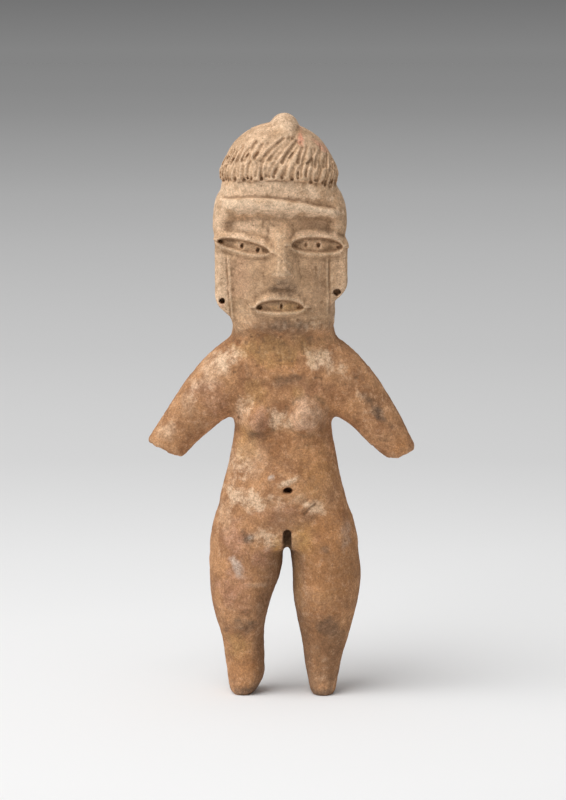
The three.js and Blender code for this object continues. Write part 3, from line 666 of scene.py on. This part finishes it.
def decimated(mesh):
    """The same surface with no more triangles than a piece may have."""
    made = linked("fine", mesh)
    fewer = made.modifiers.new("fewer", "DECIMATE")
    fewer.ratio = FACETS / (2 * len(mesh.polygons))
    fewer.use_collapse_triangulate = True
    bpy.context.view_layer.update()
    seen = made.evaluated_get(bpy.context.evaluated_depsgraph_get())
    result = bpy.data.meshes.new_from_object(seen)
    bpy.data.objects.remove(made)
    bpy.data.meshes.remove(mesh)
    return result


def numbers(mesh, collection, name, width, kind=float):
    items = getattr(mesh, collection)
    values = np.empty(len(items) * width, dtype=kind)
    items.foreach_get(name, values)
    return values.reshape(-1, width)


# Where the clay's colour changes, and where light and shade are painted onto it, as rows of (x, z,
# half width, half height, lean, strength), in millimetres and degrees, on the front of the figure.
STAINS = {
    # Pale: partly paler clay and crust, partly painted light on the forehead strip, the headband's
    # top, the upper lids, the left brow and the lit left edges of the face, arm and body.
    "pale_and_painted_light": (
        (-4, 142, 10, 6, 0, 0.6), (1, 148, 5, 4, 0, 0.9), (8, 141, 6, 5, -35, 0.5),
        (-1, 130.4, 15, 3.6, 0, 1.0), (-1, 126, 15, 2.4, -4, 1.0), (-13, 119, 3, 5, 0, 0.3),
        (-13.4, 104.5, 0.6, 5, 0, 0.8), (1.9, 110.1, 1.8, 0.4, -42, 0.9),
        (-17, 84.5, 6, 3.4, 42, 0.7), (-13.3, 87.5, 4.5, 2.5, 20, 0.5),
        (10.5, 87, 5.5, 3, -20, 0.5), (-29, 68, 3, 2.5, 40, 0.55), (-24, 76, 3, 3, 45, 0.4),
        (-9.8, 74, 2.6, 4, 0, 0.45), (-0.3, 72.3, 2.7, 3.2, 0, 0.5), (7, 73.4, 4.8, 4.6, 0, 0.8),
        (-12.8, 62, 1.6, 8, 8, 0.5), (-8, 62, 4.5, 5.5, 0, 0.4), (-8, 51.5, 7, 3.2, -10, 0.6),
        (2.2, 56.2, 3.2, 0.8, 27, 0.85), (8.2, 49.8, 4, 2.1, -25, 0.6),
        (4.5, 52, 3, 0.8, 25, 0.5), (-4, 41.5, 4.2, 3.2, 10, 0.45), (-14.5, 47, 2, 6, 10, 0.4),
        (10, 25.5, 5, 3, 0, 0.15), (-5.8, 29.3, 3, 0.8, 0, 0.4), (-7.5, 121.6, 8, 2.8, 0, 0.95),
        (-10, 118.9, 6.6, 1, -10, 0.95), (9.4, 119.4, 6.6, 1, 0, 0.85),
        (-15.2, 108, 2.2, 10, 0, 0.75), (-15.6, 124, 2.6, 8, 0, 0.7), (15, 109, 2, 9, 0, 0.4),
        (-1, 136.5, 16, 5, 0, 0.55),
    ),
    "ochre": (
        (-1, 90, 11, 3.8, 0, 0.75), (4.4, 79, 2, 1.5, 0, 0.5), (-9, 66, 3, 5, 0, 0.4),
        (-6.5, 79, 3, 4, 0, 0.35), (6, 40, 3.6, 6, 0, 0.75), (4.2, 31, 1.8, 8, 0, 0.85),
        (-1, 38, 1.5, 4.5, 0, 0.7), (-11.5, 13, 3.4, 4, 0, 0.5), (1, 100.5, 5.5, 1.4, 0, 0.5),
        (12, 27, 5, 3, 0, 0.3), (9, 57, 5, 8, 0, 0.25),
    ),
    "rust": (
        (12, 34, 9, 15, 0, 1.0), (-9, 6, 5, 6, 0, 0.6), (11, 10, 5, 8, 0, 0.6),
        (30.5, 64.5, 3, 2.5, 40, 0.6), (13, 46, 5, 4, 0, 0.4), (9, 60, 5, 9, 0, 0.35),
        (-1, 65, 5, 4, 0, 0.3), (16, 74, 5, 5, 0, 0.3), (-10, 123.5, 4, 1.2, 0, 0.4),
        (1, 84, 8, 3, 0, 0.3),
    ),
    "rose": (
        (-11.5, 41, 4, 4.5, 0, 0.7), (-12, 29, 4.5, 7, 0, 0.6), (-4.5, 36.5, 3.6, 3.5, 0, 0.7),
        (-5.5, 72, 2.6, 3, 0, 0.6), (7, 73, 3.6, 3.6, 0, 0.45), (-17.5, 77.5, 5, 5, 40, 0.5),
        (0, 47.5, 9, 3, 0, 0.4), (8, 80, 5, 2.5, 0, 0.3), (-10, 108, 3.5, 6, 0, 0.3),
    ),
    # Dusk: painted shade under the headband, beside the nose, on the cheeks, under the chin, on
    # the neck, along the belly crease and down the right side of the body and legs. Its drift
    # elsewhere is darker tone at random.
    "dark_tone_and_painted_shade": (
        (1.5, 45.6, 7.5, 2.8, 0, 0.6), (9, 122, 5.5, 2, -5, 0.5), (0, 92, 11, 1.8, 0, 0.45),
        (17, 81.5, 6, 2, -30, 0.4), (10, 108, 3.8, 6, 0, 0.45), (0, 82, 9, 2.5, 0, 0.3),
        (11, 69, 2.5, 6, 0, 0.3), (14, 55, 2.5, 12, -8, 0.3), (17.5, 35, 2, 10, 0, 0.3),
        (0, 95.8, 9, 2.6, 0, 0.95), (1, 90.6, 11, 3.4, 0, 0.7), (-8, 106, 5, 7, 0, 0.25),
        (11, 10, 7, 11, 0, 0.9), (-10, 11, 5, 9, 0, 0.25), (13, 32, 8, 12, 0, 0.65),
        (-23, 72, 5, 5, 40, 0.25), (9, 101, 5, 5, 0, 0.35),
    ),
    "ash": (
        (-11.2, 34, 3, 1.3, -62, 0.6), (-8.1, 41.5, 0.6, 0.6, 0, 0.9),
        (-2.4, 57, 0.8, 0.6, 0, 0.8), (16.5, 42, 1.5, 4, 0, 0.3),
    ),
    # Cream: the clay's pale crust, except the forehead strip and headband rows, which are painted
    # light.
    "cream_and_painted_light": (
        (-13.3, 87.5, 4.5, 2.5, 20, 0.6), (10.5, 87, 5.5, 3, -20, 0.65),
        (-0.3, 72.3, 2.7, 3.4, 0, 0.7), (-9.5, 75.5, 2.4, 3.4, 0, 0.55),
        (-8, 51.5, 7, 3, -10, 0.7), (2.2, 56.2, 3.2, 0.8, 27, 0.7), (8.2, 49.8, 4, 2, -25, 0.55),
        (-4, 41.5, 4.2, 3.2, 10, 0.55), (-10, 60, 3, 5, 0, 0.35), (10, 4, 3, 2.5, 0, 0.15),
        (-1, 130.4, 16, 3.6, 0, 0.95), (-1, 126, 16, 2.2, -4, 1.0), (1, 148, 5, 4, 0, 0.4),
        (22, 76, 6, 5, -40, 0.25), (-20, 78, 5, 5, 40, 0.2),
    ),
    # Soot: partly dark smudges on the clay, partly painted shadow under the nose, chin, headband
    # and hair hem, painted contact shadow at the soles and painted shade down the right shin.
    "soot_and_painted_shade": (
        (2, 82.1, 5.2, 1.3, 12, 0.65), (24.3, 74.2, 5.6, 1.5, -52, 1.0),
        (26.5, 66.2, 2, 1, -20, 0.4), (0.8, 105.6, 4.6, 2.6, 0, 0.95),
        (1.5, 96, 6.5, 2.2, 0, 0.8), (4.2, 94.3, 3.2, 0.9, 0, 0.5), (-9, 18.9, 3.8, 3.2, 0, 0.8),
        (-14, 17.5, 0.9, 1.2, 0, 0.7), (-13.2, 13.5, 0.6, 2.5, 10, 0.5),
        (12.6, 18.4, 4.4, 2.8, -8, 0.8), (-8.2, 41.3, 1.7, 1.6, 0, 0.9),
        (-9.9, 43.4, 0.8, 0.7, 0, 0.6), (11.5, 38.4, 1, 1, 0, 0.8), (-5.8, 68, 2.2, 1.2, 0, 0.6),
        (7.3, 65.2, 2.2, 1, 0, 0.4), (7, 46.8, 2, 1, 0, 0.4), (9, 54.5, 0.8, 0.8, 0, 0.5),
        (0.8, 60.7, 1.5, 0.6, 0, 0.35), (-9, 0.6, 6, 2.2, 0, 0.85), (10.6, 0.6, 6, 2.2, 0, 0.85),
        (11.5, 9, 6, 10, 0, 0.28), (6, 118, 3, 1, 0, 0.25), (9, 121.5, 5, 1.2, -4, 0.35),
        (3.4, 38, 0.8, 5, 0, 0.45), (-3.6, 136, 3, 1, 0, 0.3),
    ),
    "red": (
        (5.1, 143.5, 0.9, 2.6, 4, 0.9), (10, 141.8, 2.8, 0.8, -40, 0.5),
        (-15, 101.2, 0.9, 0.9, 0, 0.5),
    ),
}
# How each colour drifts over the rest of the figure: the drift's size in millimetres and strength.
# The front, where the stains are, keeps a small share of it.
FRONT_DRIFT = 0.08
DRIFTS = {
    "pale_and_painted_light": (15, 0.4), "ochre": (17, 0.6), "rust": (12, 0.5), "rose": (14, 0.6), "dark_tone_and_painted_shade": (16, 0.5),
    "ash": (6, 0.2), "cream_and_painted_light": (11, 0.4), "soot_and_painted_shade": (10, 0.4), "red": (8, 0.0),
}


def stain_masks(x, y, z):
    """How strongly each stain shows at each vertex, with its edges broken up."""
    front = fade(-y, -5, -1)
    ragged = 0.45 * patch_noise(x, y, z, 2.6) + 0.3 * patch_noise(x, y + 20, z, 1.2)
    masks = {}
    for turn, (name, rows) in enumerate(STAINS.items()):
        size, share = DRIFTS[name]
        drift = broad_noise(x + 30 * turn, y, z + 20 * turn, size)
        mask = share * fade(drift, 0.15, 0.85) * (1 - (1 - FRONT_DRIFT) * front)
        for middle_x, middle_z, half_width, half_height, lean, strength in rows:
            angle = math.radians(lean)
            across = (x - middle_x) * math.cos(angle) + (z - middle_z) * math.sin(angle)
            up = (z - middle_z) * math.cos(angle) - (x - middle_x) * math.sin(angle)
            reach = np.hypot(across / half_width, up / half_height) + ragged
            mask = np.maximum(mask, strength * (1 - fade(reach, 0.35, 1.25)) * front)
        masks[name] = mask
    return masks


def vertex_masks(mesh):
    """The masks that the clay's colour is mixed by, one number a vertex each."""
    points = numbers(mesh, "vertices", "co", 3)
    normals = numbers(mesh, "vertex_normals", "vector", 3)
    edges = numbers(mesh, "edges", "vertices", 2, np.int32)
    x, y, z = points.T
    masks = stain_masks(x, y, z)
    waver = 1.6 * broad_noise(x, y, z, 5) + 0.8 * fine_noise(x, y, z, 2)
    masks["buff"] = fade(z + waver, 91, 99)
    # How far each vertex lies below its smoothed neighbours: the hollow mask paints dirt and
    # painted shade into creases and recesses.
    near = ((smoothed(points, edges, 3) - points) * normals).sum(axis=1)
    far = ((smoothed(points, edges, 14) - points) * normals).sum(axis=1)
    relief = 9 * near + 2.2 * far
    masks["hollow"] = fade(relief, 0.12, 1.1)
    masks["worn"] = fade(-9 * near, 0.1, 0.8) * (0.3 + 0.7 * masks["buff"])
    # Painted shade inside the slot between the thighs.
    aside = x - MIDLINE_X
    slot = (1 - fade(np.abs(aside), 1.1, 1.9)) * (1 - fade(np.abs(z - 40), 3.6, 5))
    slot = slot * fade(y, -8, -6)
    masks["hollow"] = np.maximum(masks["hollow"], slot)
    # Painted shade on the faces of the legs that turn towards the midline below the crotch.
    inward = fade(-np.sign(aside) * normals[:, 0], 0.2, 0.8) * (1 - fade(z, 41, 46))
    masks["dark_tone_and_painted_shade"] = np.maximum(masks["dark_tone_and_painted_shade"], 0.8 * inward)
    masks["soot_and_painted_shade"] = np.maximum(masks["soot_and_painted_shade"], np.maximum(0.75 * slot, 0.3 * inward))
    return masks


def placed(mesh):
    """Moves the figure from its own millimetres onto its CAD node, in metres."""
    low, high = (np.array(corner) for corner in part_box(NODE))
    points = numbers(mesh, "vertices", "co", 3) * MM
    middle = (points.min(axis=0) + points.max(axis=0)) / 2
    shift = (low + high) / 2 - middle
    shift[2] = low[2]
    points = np.clip(points + shift, low, high)
    mesh.vertices.foreach_set("co", points.ravel())
    mesh.update()


def modelled_figure():
    mesh = decimated(fine_surface())
    for name, values in vertex_masks(mesh).items():
        layer = mesh.attributes.new(name, "FLOAT", "POINT")
        layer.data.foreach_set("value", np.ascontiguousarray(values, dtype=np.float32))
    placed(mesh)
    mesh.shade_smooth()
    mesh.materials.append(earthenware())
    return linked("figure_surface", mesh)


def feed(tree, socket, value):
    """Gives a socket a plain value, or links another node's socket to it."""
    if isinstance(value, bpy.types.NodeSocket):
        tree.links.new(value, socket)
    else:
        socket.default_value = value


def node(tree, kind, inputs=None, **settings):
    made = tree.nodes.new(kind)
    for name, value in settings.items():
        setattr(made, name, value)
    for name, value in (inputs or {}).items():
        feed(tree, made.inputs[name], value)
    return made


def colour_mix(tree, share, first, second, blend="MIX"):
    made = tree.nodes.new("ShaderNodeMix")
    made.data_type = "RGBA"
    made.blend_type = blend
    sockets = {"Factor_Float": share, "A_Color": first, "B_Color": second}
    for socket in made.inputs:
        if socket.identifier in sockets:
            value = sockets[socket.identifier]
            feed(tree, socket, (*value, 1) if isinstance(value, tuple) else value)
    return next(socket for socket in made.outputs if socket.identifier == "Result_Color")


def between(tree, value, low, high, start=0.0, end=1.0, kind="SMOOTHSTEP"):
    """A value spread from start to end as another goes from low to high."""
    inputs = {"Value": value, "From Min": low, "From Max": high, "To Min": start, "To Max": end}
    return node(tree, "ShaderNodeMapRange", inputs, interpolation_type=kind).outputs[0]


def combined(tree, operation, first, second):
    inputs = {0: first, 1: second}
    return node(tree, "ShaderNodeMath", inputs, operation=operation).outputs[0]


def noise(tree, places, size_mm, detail, roughness, distortion):
    inputs = {"Vector": places, "Scale": 1 / (size_mm * MM), "Detail": detail,
              "Roughness": roughness, "Distortion": distortion}
    return node(tree, "ShaderNodeTexNoise", inputs).outputs["Fac"]


def mask_of(tree, name):
    return node(tree, "ShaderNodeAttribute", attribute_name=name).outputs["Fac"]


# The clay's colours, and the colour and share of each wash over it. The pale wash also paints
# light and the dusk wash paints shade.
BODY_CLAY = (0.50, 0.255, 0.12)
BODY_DARK = (0.33, 0.155, 0.07)
BODY_LIGHT = (0.62, 0.38, 0.215)
HEAD_CLAY = (0.575, 0.365, 0.215)
HEAD_DARK = (0.43, 0.265, 0.148)
CREAM = (0.79, 0.58, 0.395)
SOOT_AND_SHADE = (0.115, 0.075, 0.052)
DIRT_AND_SHADE = (0.24, 0.14, 0.075)
WASHES = (
    ("pale_and_painted_light", (0.78, 0.54, 0.36), 0.85),
    ("ochre", (0.54, 0.31, 0.10), 0.9),
    ("rust", (0.47, 0.205, 0.07), 0.95),
    ("rose", (0.46, 0.235, 0.15), 0.9),
    ("dark_tone_and_painted_shade", (0.27, 0.145, 0.075), 0.9),
    ("ash", (0.60, 0.53, 0.46), 0.9),
    ("red", (0.62, 0.19, 0.12), 0.8),
)
# Noise in the clay, as rows of size in millimetres, detail, roughness and distortion.
MOTTLE = (5.5, 6, 0.62, 0.4)
CLOUDS = (1.9, 5, 0.7, 0.3)
FLECKS = (0.8, 4, 0.7, 0)
GRAIN = (0.45, 3, 0.65, 0)
CRUMBS = (2.2, 8, 0.85, 0)
PORE_PITCH = 1.3
BUMP_DEPTH = 0.2


def new_material(name):
    """A material with its node tree, its surface and the place in the object's own space."""
    material = bpy.data.materials.new(name)
    material.use_nodes = True
    tree = material.node_tree
    surface = next(n for n in tree.nodes if n.type == "BSDF_PRINCIPLED")
    return material, tree, surface, node(tree, "ShaderNodeTexCoord").outputs["Object"]


def earthenware():
    """Fired clay, mottled, washed and crusted by its masks, with grain, pores and dirt; some
    washes, crusts and the hollows also carry painted light and painted shade.
    """
    material, tree, surface, places = new_material("earthenware")
    mottle = noise(tree, places, *MOTTLE)
    clouds = noise(tree, places, *CLOUDS)
    flecks = noise(tree, places, *FLECKS)
    grain = noise(tree, places, *GRAIN)
    crumbs = noise(tree, places, *CRUMBS)

    colour = colour_mix(tree, between(tree, mottle, 0.36, 0.62), BODY_DARK, BODY_CLAY)
    colour = colour_mix(tree, between(tree, clouds, 0.5, 0.75, 0, 0.3), colour, BODY_LIGHT)
    head = colour_mix(tree, between(tree, mottle, 0.34, 0.6), HEAD_DARK, HEAD_CLAY)
    colour = colour_mix(tree, mask_of(tree, "buff"), colour, head)
    broken = between(tree, crumbs, 0.36, 0.6, 0.35, 1.1)
    for name, stain, share in WASHES:
        shown = combined(tree, "MULTIPLY", mask_of(tree, name), broken)
        shown = combined(tree, "MULTIPLY", shown, share)
        colour = colour_mix(tree, shown, colour, stain)

    # The crust colour also paints light on the forehead strip and the headband.
    crumbly = between(tree, crumbs, 0.34, 0.64, -0.55, 0.35)
    crust = combined(tree, "ADD", mask_of(tree, "cream_and_painted_light"), crumbly)
    colour = colour_mix(tree, between(tree, crust, 0.05, 0.8, 0, 0.52), colour, CREAM)
    # The soot colour darkens real smudges and also paints shadow and shade where its mask lies.
    thin = between(tree, crumbs, 0.36, 0.6, 0.9, 0.45)
    soot_and_shade = combined(tree, "MULTIPLY", mask_of(tree, "soot_and_painted_shade"), thin)
    colour = colour_mix(tree, soot_and_shade, colour, SOOT_AND_SHADE)
    # Hollows get the dark colour: dirt and painted shade together.
    cloudy = between(tree, clouds, 0.2, 0.6, 0.35, 0.75)
    dirt_and_shade = combined(tree, "MULTIPLY", mask_of(tree, "hollow"), cloudy)
    colour = colour_mix(tree, dirt_and_shade, colour, DIRT_AND_SHADE)
    light = colour_mix(tree, 0.55, colour, CREAM)
    flecked = between(tree, flecks, 0.3, 0.6, 0.35, 0.8)
    worn = combined(tree, "MULTIPLY", mask_of(tree, "worn"), flecked)
    colour = colour_mix(tree, worn, colour, light)
    grainy = between(tree, grain, 0.3, 0.7, 0.76, 1.2)
    rough_grain = between(tree, crumbs, 0.36, 0.62, 0.8, 1.14)
    speckle = combined(tree, "MULTIPLY", grainy, rough_grain)
    shade = node(tree, "ShaderNodeCombineXYZ", {"X": speckle, "Y": speckle, "Z": speckle})
    colour = colour_mix(tree, 1.0, colour, shade.outputs[0], "MULTIPLY")

    pores = node(tree, "ShaderNodeTexVoronoi", {"Vector": places, "Scale": 1 / (PORE_PITCH * MM)})
    holes = between(tree, pores.outputs["Distance"], 0.04, 0.2)
    chosen = between(tree, pores.outputs["Color"], 0.24, 0.28)
    open_pores = combined(tree, "MAXIMUM", holes, chosen)
    colour = colour_mix(tree, open_pores, DIRT_AND_SHADE, colour)

    height = combined(tree, "ADD", grain, combined(tree, "MULTIPLY", flecks, 1.2))
    height = combined(tree, "ADD", height, combined(tree, "MULTIPLY", open_pores, 0.7))
    relief = {"Height": height, "Strength": 0.6, "Distance": BUMP_DEPTH * MM}
    bump = node(tree, "ShaderNodeBump", relief)
    tree.links.new(bump.outputs["Normal"], surface.inputs["Normal"])
    tree.links.new(colour, surface.inputs["Base Color"])
    rough = between(tree, mottle, 0.3, 0.7, 0.82, 0.95)
    tree.links.new(rough, surface.inputs["Roughness"])
    surface.inputs["Specular IOR Level"].default_value = 0.25
    return material


# The floor's painted shade: its tone by the distance in metres from the figure, set along a
# logarithmic scale.
FLOOR_REACH = 40
FLOOR_NEAR = 0.1
FLOOR_SHADE_TONES = (
    (0, 0.87), (0.12, 0.87), (0.25, 0.83), (0.5, 0.745), (1, 0.77), (2, 0.87), (3, 0.885),
    (5, 0.80), (8, 0.70), (13, 0.645), (40, 0.595),
)
# The surroundings' tone is the sum of these ramps, as rows of (low, high, start, end, kind) over
# the upward part of the direction: the wall, the far floor below it, and the bright room above.
WORLD_RAMPS = (
    (0, 0.016, 0.23, 0.17, "LINEAR"),
    (-0.02, -0.006, 0.075, 0, "LINEAR"),
    (0.05, 0.5, 0, 0.235, "SMOOTHSTEP"),
)
AIM = Vector((0.0004, 0, 0.0762))
SOFTBOXES = (
    ("upper_left", Vector((-0.95, -0.78, 1.45)), 2.0, 37),
    ("overhead", Vector((-0.1, -0.2, 1.6)), 1.4, 2),
)
CAMERA_DISTANCE = 0.859
CAMERA_RISE = math.radians(6)
LENS = 150


def floor_material():
    """Painted shade: pale near the figure and greyer far off, as a lit sheet of paper falls into
    shade.
    """
    material, tree, surface, places = new_material("floor")
    reach = node(tree, "ShaderNodeVectorMath", {0: places}, operation="LENGTH").outputs["Value"]
    scaled = combined(tree, "LOGARITHM", combined(tree, "ADD", reach, FLOOR_NEAR), 10)
    low, high = math.log10(FLOOR_NEAR), math.log10(FLOOR_REACH + FLOOR_NEAR)
    share = between(tree, scaled, low, high, kind="LINEAR")
    ramp = node(tree, "ShaderNodeValToRGB", {"Fac": share})
    stops = ramp.color_ramp.elements
    for at, (distance, tone) in enumerate(FLOOR_SHADE_TONES):
        place = (math.log10(distance + FLOOR_NEAR) - low) / (high - low)
        stop = stops[at] if at < 2 else stops.new(place)
        stop.position = place
        stop.color = (tone, tone, tone, 1)
    tree.links.new(ramp.outputs["Color"], surface.inputs["Base Color"])
    surface.inputs["Roughness"].default_value = 1
    surface.inputs["Specular IOR Level"].default_value = 0
    return material


def studio():
    floor = bpy.data.meshes.new("floor")
    sides = ((-1, -1), (1, -1), (1, 1), (-1, 1))
    corners = [(x * FLOOR_REACH, y * FLOOR_REACH, 0) for x, y in sides]
    floor.from_pydata(corners, [], [(0, 1, 2, 3)])
    floor.materials.append(floor_material())
    ground = linked("floor", floor)

    world = bpy.data.worlds.new("studio")
    world.use_nodes = True
    tree = world.node_tree
    back = next(n for n in tree.nodes if n.type == "BACKGROUND")
    toward = node(tree, "ShaderNodeTexCoord").outputs["Generated"]
    up = node(tree, "ShaderNodeSeparateXYZ", {"Vector": toward}).outputs["Z"]
    tone = 0
    for row in WORLD_RAMPS:
        tone = combined(tree, "ADD", tone, between(tree, up, *row))
    tree.links.new(tone, back.inputs["Color"])
    bpy.context.scene.world = world

    for name, place, size, power in SOFTBOXES:
        light = bpy.data.lights.new(name, "AREA")
        light.size = size
        light.energy = power
        lamp = linked(name, light)
        lamp.location = place
        lamp.rotation_euler = (AIM - lamp.location).to_track_quat("-Z", "Y").to_euler()


def photographed():
    data = bpy.data.cameras.new("camera")
    data.lens = LENS
    camera = linked("camera", data)
    offset = Vector((0, -math.cos(CAMERA_RISE), math.sin(CAMERA_RISE))) * CAMERA_DISTANCE
    camera.location = AIM + offset
    camera.rotation_euler = (-offset).to_track_quat("-Z", "Y").to_euler()
    bpy.context.scene.camera = camera


bpy.context.scene.view_settings.view_transform = "Standard"
figurine = modelled_figure()
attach(figurine, "root")
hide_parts(NODE)
studio()
photographed()
